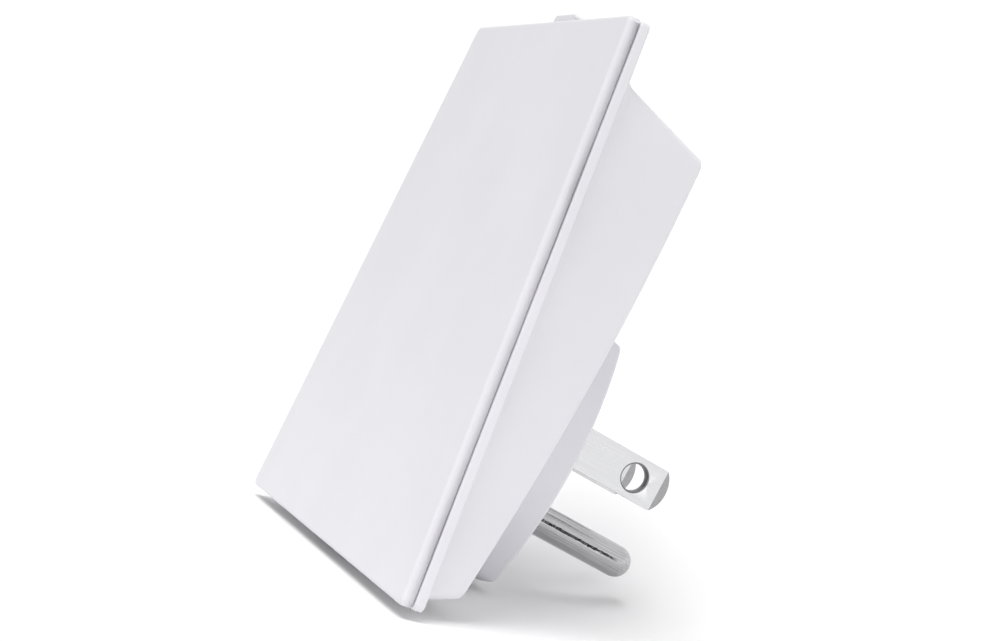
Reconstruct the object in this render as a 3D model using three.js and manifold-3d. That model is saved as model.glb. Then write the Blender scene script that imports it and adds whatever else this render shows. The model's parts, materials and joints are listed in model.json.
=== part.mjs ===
// Plug-in smart home module: a flat front cover on a wedge-shaped housing, with a grounded plug behind.
//
// Units are millimetres. The origin is the centre of the face that seats on the wall outlet.
// +Y points into the wall, along the blades, +Z is up, and the front cover faces -Y.
// The cover and all that is fixed to it share the "cover frame": x across, y = depth behind
// the cover's front face, z up the cover. That frame leans forward by COVER_LEAN.

import * as THREE from 'three';
import { mergeVertices } from 'three/addons/utils/BufferGeometryUtils.js';
import Module from 'manifold-3d';

const wasm = await Module();
wasm.setup();

// ---------------------------------------------------------------- driving dimensions

// front cover
const COVER_HEIGHT = 80;
const COVER_TOP_WIDTH = 62;
const COVER_BOTTOM_WIDTH = 84;
const COVER_THICKNESS = 1.6;
const COVER_CORNER = 0.8; // corner radius, seen from the front
const COVER_EDGE = 0.5; // rounding of the front edge
const COVER_LEAN = THREE.MathUtils.degToRad(5);
const COVER_DISTANCE = 27.4; // seat face to the middle of the cover's front face
const COVER_RISE = 14.7; // middle of the cover above the middle of the boss

// rear housing
const SHADOW_GAP = 0.25; // open line between cover and flange
const FLANGE = 1.5;
const FLANGE_EDGE = 0.3;
const WALL = 1.8;
const BODY_TOP_STEP = 7.7; // the flange stands this far above the body
const BODY_BOTTOM_STEP = 1.2;
const BODY_SIDE_STEP = 1.7;
const BODY_CORNER = 1.2;
const BODY_BACK_EDGE = 0.6;
const BODY_TOP_DEPTH = 16.2; // flange to back face along Y, at the top edge
const BODY_BOTTOM_DEPTH = 5.8; // the same at the bottom edge
const BODY_TAPER = 3.0; // the sides draw in by this much towards the back
const BODY_TOP_TAPER = 4.4;
const BODY_BOTTOM_TAPER = 1.6;
const BACK_CROWN = 1.3;
const FLANGE_FILLET = 1.3;

// boss that carries the plug
const BOSS_HALF_WIDTH = 13.5;
const BOSS_END_HALF_WIDTH = 8.0;
const BOSS_HALF_HEIGHT = 19.2;
const BOSS_END_RISE = 0.8; // arch of the top and bottom ends
const BOSS_CORNER = 1.2;
const BOSS_EDGE = 0.5;
const BOSS_WALL = 2.0;
const BOSS_ROOT = 16.5; // the boss's wall reaches this far in from the seat face
const SEAT_FLOOR = 2.4;

// grounded plug, three prongs
const BLADE_SPACING = 12.7;
const BLADE_WIDTH = 6.35;
const BLADE_THICKNESS = 1.5;
const BLADE_REACH = 17.6;
const BLADE_TIP_SAG = 1.5; // how far the rounded tip stands past its corners
const BLADE_TIP_THICKNESS = 0.5;
const BLADE_HOLE = 4.0;
const BLADE_HOLE_REACH = 11.8;
const BLADE_RISE = 3.8; // blade centre line above the middle of the boss
const PIN_DROP = 11.9; // ground pin below the blades
const PIN_DIAMETER = 4.8;
const PIN_REACH = 21;

// plug carrier, inside the boss
const CARRIER_DEPTH = 7.8;
const SHOULDER_WIDTH = 9.4;
const SHOULDER_DEPTH = 1.2;
const TAIL_WIDTH = 3.2;
const TAIL_LENGTH = 3.0;
const CLAMP_DEPTH = 1.7;
const CLAMP_SIDE_STEP = 0.8;
const CLAMP_RIM = 0.8;
const CLAMP_SCREW_SPACING = 13.2;
const PIN_FLANGE = 7.2;

// top button
const BUTTON_WIDTH = 8.0;
const BUTTON_DEPTH = 2.6;
const BUTTON_STAND = 2.0; // how far it stands above the cover
const BUTTON_EDGE = 0.5;
const BUTTON_TRAVEL = 0.5;
const BUTTON_FOOT_OVERHANG = 1.6;
const BUTTON_FOOT_HEIGHT = 1.6;
const CHIMNEY_WALL = 1.3;
const CHIMNEY_TOP_STEP = 0.6; // chimney ends this far below the flange's top

// side-pressed switch under the button
const SWITCH_WIDTH = 6;
const SWITCH_HEIGHT = 3.6;
const SWITCH_DEPTH = 3.4;
const PLUNGER_WIDTH = 3;
const PLUNGER_DEPTH = 1.4;
const PLUNGER_STAND = 1.4; // how far it stands above the switch

// main board and what stands on it
const BOARD_THICKNESS = 1.2;
const BOARD_SETBACK = 2.0; // cover's back face to the board
const BOARD_MARGIN = 3.2;
const BOARD_TOP_CLEARANCE = 7.4;
const LEAD_DIAMETER = 1.3;
// the board's layout: rows in its height, and the units that its widths and the depth must hold
const BOARD_ROWS = 22;
const BOARD_TOP_UNITS = 21;
const BOARD_BOTTOM_UNITS = 28;
const TALL_UNITS = 3.4;
const CAN_ROW = 7.2; // the bulk capacitors' row, and their size in units
const CAN_DIAMETER = 3.2;
const CAN_LENGTH = 5.6;

// screws
const SCREW_SHANK = 2.0;
const SCREW_HEAD = 3.8;
const SCREW_HEAD_HEIGHT = 1.3;
const COVER_SCREW_LENGTH = 4.6;
const CLAMP_SCREW_LENGTH = 4.0;
const COLUMN_DIAMETER = 5.0;
const COLUMN_TOP_INSET = 7.2; // cover screws, in from the cavity's edges
const COLUMN_SIDE_INSET = 6.0;
const COLUMN_BOTTOM_INSET = 5.0;
const PAD_DIAMETER = 7.2;
const PAD_DEPTH = 1.7;
const RECESS_DEPTH = 1.6;

// clearances
const GAP = 0.3; // between neighbouring pieces
const THREAD_GAP = 0.12; // between a screw and its hole
const LIP = 1.0; // the cover's locating lip
const LIP_DEPTH = 2.2;

// facets
const ARC_STEPS = 5;
const SIDE_STEPS = 10;
const ROUND = 24;
const BACK_RINGS = 6; // steps from the back face's edge to its middle

// ---------------------------------------------------------------- derived places

const flangeFront = COVER_THICKNESS + SHADOW_GAP;
const flangeBack = flangeFront + FLANGE;
const cavityMouth = COVER_THICKNESS + LIP_DEPTH + GAP; // the cavity's straight mouth ends here
const pinRise = BLADE_RISE - PIN_DROP;
const screwHole = SCREW_SHANK / 2 + THREAD_GAP;
const coverSlope = (COVER_BOTTOM_WIDTH - COVER_TOP_WIDTH) / 2 / COVER_HEIGHT;

const coverMatrix = new THREE.Matrix4()
  .makeTranslation(0, -COVER_DISTANCE, COVER_RISE)
  .multiply(new THREE.Matrix4().makeRotationX(COVER_LEAN));
const intoCover = coverMatrix.clone().invert();

/** Half the cover's width at height z of the cover frame. */
const coverHalfWidth = (z) => COVER_TOP_WIDTH / 2 + (COVER_HEIGHT / 2 - z) * coverSlope;

const bodyTop = COVER_HEIGHT / 2 - BODY_TOP_STEP;
const bodyBottom = -COVER_HEIGHT / 2 + BODY_BOTTOM_STEP;

/** The four numbers of a symmetric trapezoid, pulled in by inset on every side. */
const trapezoid = (halfTop, halfBottom, top, bottom, inset = 0) => ({
  halfTop: halfTop - inset,
  halfBottom: halfBottom - inset,
  top: top - inset,
  bottom: bottom + inset,
});
const coverShape = (inset) =>
  trapezoid(COVER_TOP_WIDTH / 2, COVER_BOTTOM_WIDTH / 2, COVER_HEIGHT / 2, -COVER_HEIGHT / 2, inset);
const bodyFront = (inset) =>
  trapezoid(
    coverHalfWidth(bodyTop) - BODY_SIDE_STEP,
    coverHalfWidth(bodyBottom) - BODY_SIDE_STEP,
    bodyTop,
    bodyBottom,
    inset,
  );
const bodyBack = (inset) => {
  const front = bodyFront(0);
  return trapezoid(
    front.halfTop - BODY_TAPER,
    front.halfBottom - BODY_TAPER,
    front.top - BODY_TOP_TAPER,
    front.bottom + BODY_BOTTOM_TAPER,
    inset,
  );
};

// ---------------------------------------------------------------- shape helpers

/** Points of an arc about (cx, cz), from angle a to angle b in degrees. */
function arc(cx, cz, radius, a, b, steps = ARC_STEPS) {
  return Array.from({ length: steps + 1 }, (_, i) => {
    const angle = THREE.MathUtils.degToRad(a + ((b - a) * i) / steps);
    return new THREE.Vector2(cx + radius * Math.cos(angle), cz + radius * Math.sin(angle));
  });
}

/** A convex polygon with rounded corners, counter-clockwise, each side in sideSteps steps. */
function roundedOutline(corners, radius, sideSteps = 1) {
  const points = [];
  const count = corners.length;
  const ends = corners.map((corner, i) => {
    const before = corners[(i + count - 1) % count].clone().sub(corner).normalize();
    const after = corners[(i + 1) % count].clone().sub(corner).normalize();
    const half = Math.acos(THREE.MathUtils.clamp(before.dot(after), -1, 1)) / 2;
    const reach = radius / Math.tan(half);
    const inward = before.clone().add(after).normalize();
    return {
      start: corner.clone().addScaledVector(before, reach),
      end: corner.clone().addScaledVector(after, reach),
      centre: corner.clone().addScaledVector(inward, radius / Math.sin(half)),
    };
  });
  ends.forEach(({ start, end, centre }, i) => {
    const a = Math.atan2(start.y - centre.y, start.x - centre.x);
    let b = Math.atan2(end.y - centre.y, end.x - centre.x);
    if (b < a) b += 2 * Math.PI;
    for (let k = 0; k <= ARC_STEPS; k++) {
      const angle = a + ((b - a) * k) / ARC_STEPS;
      const offset = new THREE.Vector2(Math.cos(angle), Math.sin(angle)).multiplyScalar(radius);
      points.push(offset.add(centre));
    }
    const next = ends[(i + 1) % count].start;
    for (let k = 1; k < sideSteps; k++) points.push(end.clone().lerp(next, k / sideSteps));
  });
  return points;
}

/** A rounded trapezoid outline. */
const trapezoidOutline = ({ halfTop, halfBottom, top, bottom }, radius, sideSteps) =>
  roundedOutline(
    [
      new THREE.Vector2(halfBottom, bottom),
      new THREE.Vector2(halfTop, top),
      new THREE.Vector2(-halfTop, top),
      new THREE.Vector2(-halfBottom, bottom),
    ],
    radius,
    sideSteps,
  );

/** Half the boss's width at height z above its middle. */
const bossHalfWidth = (z) =>
  BOSS_HALF_WIDTH - (BOSS_HALF_WIDTH - BOSS_END_HALF_WIDTH) * (z / BOSS_HALF_HEIGHT) ** 2;

/** The boss's outline: barrel sides, lightly arched ends and rounded corners, pulled in by inset. */
function bossOutline(inset = 0) {
  const halfHeight = BOSS_HALF_HEIGHT - inset;
  const corner = BOSS_CORNER;
  const sideEnd = halfHeight - corner;
  const endWidth = bossHalfWidth(halfHeight) - inset - corner;
  const right = [];
  for (let i = -SIDE_STEPS; i <= SIDE_STEPS; i++) {
    const z = (sideEnd * i) / SIDE_STEPS;
    right.push(new THREE.Vector2(bossHalfWidth(z) - inset, z));
  }
  const turn = new THREE.QuadraticBezierCurve(
    right[right.length - 1],
    new THREE.Vector2(bossHalfWidth(halfHeight) - inset, halfHeight),
    new THREE.Vector2(endWidth, halfHeight),
  );
  const top = turn.getPoints(ARC_STEPS).slice(1, -1);
  for (let i = 0; i <= SIDE_STEPS; i++) {
    const t = 1 - (2 * i) / SIDE_STEPS;
    top.push(new THREE.Vector2(endWidth * t, halfHeight + BOSS_END_RISE * (1 - t * t)));
  }
  top.push(...turn.getPoints(ARC_STEPS).slice(1, -1).reverse().map((p) => new THREE.Vector2(-p.x, p.y)));
  const half = [...right, ...top];
  const left = right.map((p) => new THREE.Vector2(-p.x, -p.y));
  const bottom = top.map((p) => new THREE.Vector2(-p.x, -p.y));
  return [...half, ...left, ...bottom];
}

/** A closed solid through rings of equally many points, with flat end caps. Rings are 3-D points. */
function loft(rings) {
  const count = rings[0].length;
  const positions = rings.flat().flatMap((p) => [p.x, p.y, p.z]);
  const index = [];
  for (let r = 0; r + 1 < rings.length; r++) {
    for (let i = 0; i < count; i++) {
      const a = r * count + i;
      const b = r * count + ((i + 1) % count);
      index.push(a, b, a + count, b, b + count, a + count);
    }
  }
  const cap = (ring, flip) => {
    const centre = ring.reduce((sum, p) => sum.add(p), new THREE.Vector3()).divideScalar(count);
    const first = rings.indexOf(ring) * count;
    const middle = positions.length / 3;
    positions.push(centre.x, centre.y, centre.z);
    for (let i = 0; i < count; i++) {
      const a = first + i;
      const b = first + ((i + 1) % count);
      if (flip) index.push(middle, b, a);
      else index.push(middle, a, b);
    }
  };
  cap(rings[0], true);
  cap(rings[rings.length - 1], false);
  const geometry = new THREE.BufferGeometry();
  geometry.setAttribute('position', new THREE.Float32BufferAttribute(positions, 3));
  geometry.setIndex(index);
  return outward(geometry);
}

/** Turns a closed geometry's faces outward, whichever way its rings ran. */
function outward(geometry) {
  const p = geometry.attributes.position;
  const index = geometry.index.array;
  const [a, b, c] = [new THREE.Vector3(), new THREE.Vector3(), new THREE.Vector3()];
  let volume = 0;
  for (let i = 0; i < index.length; i += 3) {
    a.fromBufferAttribute(p, index[i]);
    b.fromBufferAttribute(p, index[i + 1]);
    c.fromBufferAttribute(p, index[i + 2]);
    volume += a.dot(b.cross(c));
  }
  if (volume < 0) {
    for (let i = 0; i < index.length; i += 3) [index[i + 1], index[i + 2]] = [index[i + 2], index[i + 1]];
  }
  return geometry;
}

/** A flat outline as a ring at depth y. */
const ringAt = (outline, y) => outline.map((p) => new THREE.Vector3(p.x, y, p.y));

/** A plate of an outline function outlineOf(inset), from y0 to y1, its edge at y0 and y1 rounded. */
function plate(outlineOf, y0, y1, edge0, edge1) {
  const rings = [];
  for (let k = 0; k <= ARC_STEPS && edge0 > 0; k++) {
    const angle = (k / ARC_STEPS) * (Math.PI / 2);
    rings.push(ringAt(outlineOf(edge0 * (1 - Math.sin(angle))), y0 + edge0 * (1 - Math.cos(angle))));
  }
  if (edge0 <= 0) rings.push(ringAt(outlineOf(0), y0));
  if (edge1 <= 0) rings.push(ringAt(outlineOf(0), y1));
  for (let k = ARC_STEPS; k >= 0 && edge1 > 0; k--) {
    const angle = (k / ARC_STEPS) * (Math.PI / 2);
    rings.push(ringAt(outlineOf(edge1 * (1 - Math.sin(angle))), y1 - edge1 * (1 - Math.cos(angle))));
  }
  return loft(rings);
}

/** A box from its lowest to its highest corner. */
function box(x0, y0, z0, x1, y1, z1) {
  const geometry = new THREE.BoxGeometry(x1 - x0, y1 - y0, z1 - z0);
  return geometry.translate((x0 + x1) / 2, (y0 + y1) / 2, (z0 + z1) / 2);
}

/** A cylinder along y, from y0 to y1, about (x, z). */
function rod(x, z, radius, y0, y1, sides = ROUND) {
  const geometry = new THREE.CylinderGeometry(radius, radius, y1 - y0, sides);
  return geometry.translate(x, (y0 + y1) / 2, z);
}

/** A revolved solid about the y axis, from [radius, y] pairs that start and end on the axis. */
function turned(profile, x, z, sides = ROUND) {
  const points = profile.map(([r, y]) => new THREE.Vector2(r, y));
  return new THREE.LatheGeometry(points, sides).translate(x, 0, z);
}

/** A manifold solid of a closed geometry. */
function solid(geometry) {
  const bare = geometry.clone();
  for (const name of ['normal', 'uv']) bare.deleteAttribute(name);
  const merged = outward(mergeVertices(bare, 1e-4));
  return new wasm.Manifold(
    new wasm.Mesh({
      numProp: 3,
      vertProperties: new Float32Array(merged.attributes.position.array),
      triVerts: new Uint32Array(merged.index.array),
    }),
  );
}

/** The geometry of a manifold solid. */
function geometryOf(manifold) {
  const { vertProperties, triVerts } = manifold.getMesh();
  const geometry = new THREE.BufferGeometry();
  geometry.setAttribute('position', new THREE.Float32BufferAttribute(vertProperties, 3));
  geometry.setIndex(Array.from(triVerts));
  return geometry;
}

/** Joins, then cuts: geometries in, geometry out. */
function carve(adds, cuts = []) {
  let result = solid(adds[0]);
  for (const piece of adds.slice(1)) result = result.add(solid(piece));
  for (const piece of cuts) result = result.subtract(solid(piece));
  return geometryOf(result);
}

/** A round lead from start to end that leaves and arrives along y. */
function lead(start, end, radius) {
  const bend = new THREE.Vector3(0, (start.y - end.y) / 2, 0);
  const path = new THREE.CubicBezierCurve3(start, start.clone().sub(bend), end.clone().add(bend), end);
  const section = new THREE.Shape(arc(0, 0, radius, 0, 360 - 36, 9));
  return new THREE.ExtrudeGeometry(section, { steps: 4 * ARC_STEPS, extrudePath: path, bevelEnabled: false });
}

// ---------------------------------------------------------------- materials

const finish = (color, roughness, metalness = 0) =>
  new THREE.MeshStandardMaterial({ color, roughness, metalness });
const finishes = {
  shell: () => finish('#ecebf0', 0.42),
  nickel: () => finish('#d9d9db', 0.22, 1),
  steel: () => finish('#b9bbbf', 0.35, 1),
  carrier: () => finish('#e6e4dc', 0.6),
  board: () => finish('#1f5a3a', 0.5),
  black: () => finish('#1c1d20', 0.55),
  ferrite: () => finish('#3a3a3d', 0.7),
  winding: () => finish('#d9a93a', 0.5),
  sleeve: () => finish('#27313f', 0.4),
  ceramic: () => finish('#2f6fb3', 0.45),
  film: () => finish('#d8b43c', 0.5),
  tin: () => finish('#c4c6c8', 0.4, 1),
  copper: () => finish('#b8733c', 0.35, 1),
  glass: () => finish('#e7e2cf', 0.2),
  whiteLead: () => finish('#e4e4e2', 0.5),
  greenLead: () => finish('#2f8a4a', 0.5),
};

const part = new THREE.Group();
const coverGroup = new THREE.Group();
coverGroup.rotation.x = COVER_LEAN;
coverGroup.position.set(0, -COVER_DISTANCE, COVER_RISE);
part.add(coverGroup);

/** Names a geometry and puts it into a group. */
function place(group, name, geometry, material) {
  const mesh = new THREE.Mesh(geometry, material());
  mesh.name = name;
  group.add(mesh);
  return mesh;
}

// ---------------------------------------------------------------- housing surfaces

/** A point of the back face, in the cover frame, over the outline point (x, z). */
function backPoint(x, z, sink = 0) {
  const { top, bottom } = bodyBack(0);
  const up = (z - bottom) / (top - bottom);
  const depth = THREE.MathUtils.lerp(BODY_BOTTOM_DEPTH, BODY_TOP_DEPTH, up);
  const crown = BACK_CROWN * 4 * up * (1 - up);
  return new THREE.Vector3(x, flangeBack + depth + crown - sink, z);
}

/** Rings of the tapered body, pulled in by inset and stopping sink short of the back face. */
function bodyRings(inset, sink, fillet, backEdge, frontY) {
  const ring = (outset, t) => {
    const front = trapezoidOutline(bodyFront(inset - outset), BODY_CORNER, SIDE_STEPS);
    const back = trapezoidOutline(bodyBack(inset - outset), BODY_CORNER, SIDE_STEPS);
    return front.map((p, i) => {
      const end = backPoint(back[i].x, back[i].y, sink);
      return new THREE.Vector3(p.x, frontY, p.y).lerp(end, t);
    });
  };
  const meanDepth = (BODY_TOP_DEPTH + BODY_BOTTOM_DEPTH) / 2;
  const rings = [];
  for (let k = 0; k <= ARC_STEPS && fillet > 0; k++) {
    const angle = (k / ARC_STEPS) * (Math.PI / 2);
    rings.push(ring(fillet * (1 - Math.sin(angle)), (fillet * (1 - Math.cos(angle))) / meanDepth));
  }
  if (fillet <= 0) rings.push(ring(0, 0));
  for (let k = ARC_STEPS; k >= 0 && backEdge > 0; k--) {
    const angle = (k / ARC_STEPS) * (Math.PI / 2);
    rings.push(ring(-backEdge * (1 - Math.sin(angle)), 1 - (backEdge * (1 - Math.cos(angle))) / meanDepth));
  }
  if (backEdge <= 0) rings.push(ring(0, 1));
  // rings across the back face carry its crown
  const across = bodyBack(inset + backEdge).halfTop;
  for (let k = 1; k < BACK_RINGS; k++) rings.push(ring(-backEdge - (across * k) / BACK_RINGS, 1));
  return rings;
}

// screw places in the cover frame
const cavityFront = bodyFront(WALL);
const columnPlaces = [
  ['top_left', -(cavityFront.halfTop - COLUMN_SIDE_INSET), cavityFront.top - COLUMN_TOP_INSET],
  ['top_right', cavityFront.halfTop - COLUMN_SIDE_INSET, cavityFront.top - COLUMN_TOP_INSET],
  ['bottom_left', -(cavityFront.halfBottom - COLUMN_SIDE_INSET), cavityFront.bottom + COLUMN_BOTTOM_INSET],
  ['bottom_right', cavityFront.halfBottom - COLUMN_SIDE_INSET, cavityFront.bottom + COLUMN_BOTTOM_INSET],
].map(([name, x, z]) => {
  const back = backPoint(x, z).y;
  const recessFloor = back - RECESS_DEPTH;
  const padFront = back - WALL - PAD_DEPTH;
  return { name, x, z, back, recessFloor, padFront };
});

/** The cavity's ceiling at depth y: level at the mouth, then falling with the body's taper. */
function cavityTopAt(y) {
  const end = backPoint(0, bodyBack(0).top, WALL).y;
  const share = THREE.MathUtils.clamp((y - cavityMouth) / (end - cavityMouth), 0, 1);
  return cavityFront.top - BODY_TOP_TAPER * share;
}

// board and button places in the cover frame
const boardFront = COVER_THICKNESS + BOARD_SETBACK;
const boardBack = boardFront + BOARD_THICKNESS;
const boardTop = cavityFront.top - BOARD_TOP_CLEARANCE;
const switchBack = boardBack + GAP + SWITCH_DEPTH;
const buttonFront = flangeFront + GAP;
const buttonBack = buttonFront + BUTTON_DEPTH;
const footTop = cavityTopAt(switchBack) - GAP;
const footBottom = footTop - BUTTON_FOOT_HEIGHT;
const footHalfWidth = BUTTON_WIDTH / 2 + BUTTON_FOOT_OVERHANG;

/** The housing: flange, tapered body, chimney for the button, and the boss, all one moulding. */
function rearHousing() {
  const flange = plate(
    (inset) => trapezoidOutline(coverShape(inset), COVER_CORNER, SIDE_STEPS),
    flangeFront,
    flangeBack,
    FLANGE_EDGE,
    FLANGE_EDGE,
  );
  const overlap = 0.4;
  const body = loft([
    ringAt(trapezoidOutline(bodyFront(-FLANGE_FILLET), BODY_CORNER, SIDE_STEPS), flangeBack - overlap),
    ...bodyRings(0, 0, FLANGE_FILLET, BODY_BACK_EDGE, flangeBack),
  ]);
  const chimneyHalf = BUTTON_WIDTH / 2 + GAP + CHIMNEY_WALL;
  const chimneyBack = buttonBack + GAP + CHIMNEY_WALL;
  const chimneyTop = COVER_HEIGHT / 2 - CHIMNEY_TOP_STEP;
  const chimney = plate(
    (inset) =>
      roundedOutline(
        [
          new THREE.Vector2(chimneyHalf - inset, bodyTop - WALL),
          new THREE.Vector2(chimneyHalf - inset, chimneyTop - inset),
          new THREE.Vector2(-chimneyHalf + inset, chimneyTop - inset),
          new THREE.Vector2(-chimneyHalf + inset, bodyTop - WALL),
        ],
        0.8,
      ),
    flangeBack - overlap,
    chimneyBack,
    0,
    0.5,
  );
  const pads = columnPlaces.map(({ x, z, back, padFront }) =>
    rod(x, z, PAD_DIAMETER / 2, padFront, back - WALL / 2),
  );
  const boss = plate((inset) => bossOutline(inset), -BOSS_ROOT, 0, 0, BOSS_EDGE);
  boss.applyMatrix4(intoCover);

  const cavity = loft([
    ringAt(trapezoidOutline(bodyFront(WALL), BODY_CORNER, SIDE_STEPS), flangeFront - 1),
    ...bodyRings(WALL, WALL, 0, 0, cavityMouth),
  ]);
  const bossCavity = plate(() => bossOutline(BOSS_WALL), -BOSS_ROOT - 1, -SEAT_FLOOR, 0, 0);
  bossCavity.applyMatrix4(intoCover);
  const slot = box(
    -BUTTON_WIDTH / 2 - GAP,
    flangeFront - 1,
    cavityFront.top - 1,
    BUTTON_WIDTH / 2 + GAP,
    buttonBack + GAP,
    COVER_HEIGHT / 2 + 1,
  );
  const prongHoles = prongPlaces().map(({ x, z, width, thickness, round }) => {
    const front = -SEAT_FLOOR - 1;
    const [halfThickness, halfWidth] = [thickness / 2 + GAP, width / 2 + GAP];
    const hole = round
      ? rod(x, z, halfWidth, front, 1)
      : box(x - halfThickness, front, z - halfWidth, x + halfThickness, 1, z + halfWidth);
    return hole.applyMatrix4(intoCover);
  });
  const screwHoles = columnPlaces.map(({ x, z, padFront, back }) =>
    rod(x, z, screwHole, padFront - 1, back + 2, 16),
  );
  const recesses = columnPlaces.map(({ x, z, recessFloor, back }) =>
    rod(x, z, SCREW_HEAD / 2 + GAP, recessFloor, back + 3),
  );
  // the pads are joined after the cavity is cut, so that they stand in it
  let shell = solid(flange).add(solid(body)).add(solid(chimney)).add(solid(boss));
  shell = shell.subtract(solid(cavity)).subtract(solid(bossCavity)).subtract(solid(slot));
  for (const pad of pads) shell = shell.add(solid(pad));
  for (const cut of [...prongHoles, ...screwHoles, ...recesses]) shell = shell.subtract(solid(cut));
  return geometryOf(shell);
}

/** The three prongs' places on the seat face. */
function prongPlaces() {
  return [
    { x: -BLADE_SPACING / 2, z: BLADE_RISE, width: BLADE_WIDTH, thickness: BLADE_THICKNESS, round: false },
    { x: BLADE_SPACING / 2, z: BLADE_RISE, width: BLADE_WIDTH, thickness: BLADE_THICKNESS, round: false },
    { x: 0, z: pinRise, width: PIN_DIAMETER, thickness: PIN_DIAMETER, round: true },
  ];
}

// ---------------------------------------------------------------- front cover

/** The cover: a plain plate with a locating lip and four screw columns behind it. */
function frontCover() {
  const face = plate(
    (inset) => trapezoidOutline(coverShape(inset), COVER_CORNER, SIDE_STEPS),
    0,
    COVER_THICKNESS,
    COVER_EDGE,
    0,
  );
  const overlap = 0.4;
  const lipOutline = (inset) => trapezoidOutline(bodyFront(WALL + inset), BODY_CORNER - GAP, SIDE_STEPS);
  const lipOuter = plate(() => lipOutline(GAP), COVER_THICKNESS - overlap, COVER_THICKNESS + LIP_DEPTH, 0, 0);
  const lipInner = plate(() => lipOutline(GAP + LIP), COVER_THICKNESS, COVER_THICKNESS + LIP_DEPTH + 1, 0, 0);
  const notch = box(
    -footHalfWidth - GAP,
    COVER_THICKNESS,
    cavityFront.top - LIP - 2,
    footHalfWidth + GAP,
    COVER_THICKNESS + LIP_DEPTH + 1,
    cavityFront.top + 1,
  );
  let cover = solid(lipOuter).subtract(solid(lipInner)).subtract(solid(notch)).add(solid(face));
  for (const { x, z, padFront } of columnPlaces) {
    cover = cover.add(solid(rod(x, z, COLUMN_DIAMETER / 2, COVER_THICKNESS - overlap, padFront - GAP)));
  }
  for (const { x, z, recessFloor, padFront } of columnPlaces) {
    const pilotEnd = recessFloor - COVER_SCREW_LENGTH - GAP;
    cover = cover.subtract(solid(rod(x, z, screwHole, pilotEnd, padFront + 1, 16)));
  }
  return geometryOf(cover);
}

// ---------------------------------------------------------------- button and switch

/** The push button: a cap in the chimney and a foot that reaches over the switch. */
function topButton() {
  const half = BUTTON_WIDTH / 2;
  const top = COVER_HEIGHT / 2 + BUTTON_STAND;
  const cap = new THREE.ExtrudeGeometry(
    new THREE.Shape(
      roundedOutline(
        [
          new THREE.Vector2(half, footBottom),
          new THREE.Vector2(half, top),
          new THREE.Vector2(-half, top),
          new THREE.Vector2(-half, footBottom),
        ],
        BUTTON_EDGE,
      ),
    ),
    { depth: BUTTON_DEPTH, bevelEnabled: false },
  );
  cap.applyMatrix4(new THREE.Matrix4().makeRotationX(Math.PI / 2)).translate(0, buttonBack, 0);
  const foot = box(-footHalfWidth, buttonFront, footBottom, footHalfWidth, switchBack, footTop);
  return carve([cap, foot]);
}

const plungerTop = footBottom - GAP;
const switchTop = plungerTop - PLUNGER_STAND;
const switchMiddle = switchBack - SWITCH_DEPTH / 2;
const pocketDepth = BUTTON_TRAVEL + 2 * GAP;

/** The switch body, with the pocket that its plunger sinks into. */
function tactSwitch() {
  const half = SWITCH_WIDTH / 2;
  const body = box(-half, boardBack + GAP, switchTop - SWITCH_HEIGHT, half, switchBack, switchTop);
  const pocket = box(
    -PLUNGER_WIDTH / 2 - GAP,
    switchMiddle - PLUNGER_DEPTH / 2 - GAP,
    switchTop - pocketDepth,
    PLUNGER_WIDTH / 2 + GAP,
    switchMiddle + PLUNGER_DEPTH / 2 + GAP,
    switchTop + 1,
  );
  return carve([body], [pocket]);
}

const tactPlunger = () =>
  box(
    -PLUNGER_WIDTH / 2,
    switchMiddle - PLUNGER_DEPTH / 2,
    switchTop - GAP / 2,
    PLUNGER_WIDTH / 2,
    switchMiddle + PLUNGER_DEPTH / 2,
    plungerTop,
  );

// ---------------------------------------------------------------- plug

const carrierBack = -SEAT_FLOOR - GAP;
const carrierFront = carrierBack - CARRIER_DEPTH;
const shoulderBack = carrierFront - GAP;
const shoulderFront = shoulderBack - SHOULDER_DEPTH;
const clampBack = shoulderFront - GAP;
const clampFront = clampBack - CLAMP_DEPTH;
const tailFront = clampFront - TAIL_LENGTH;
const clampScrewPlaces = [
  ['left', -CLAMP_SCREW_SPACING / 2],
  ['right', CLAMP_SCREW_SPACING / 2],
];

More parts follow.
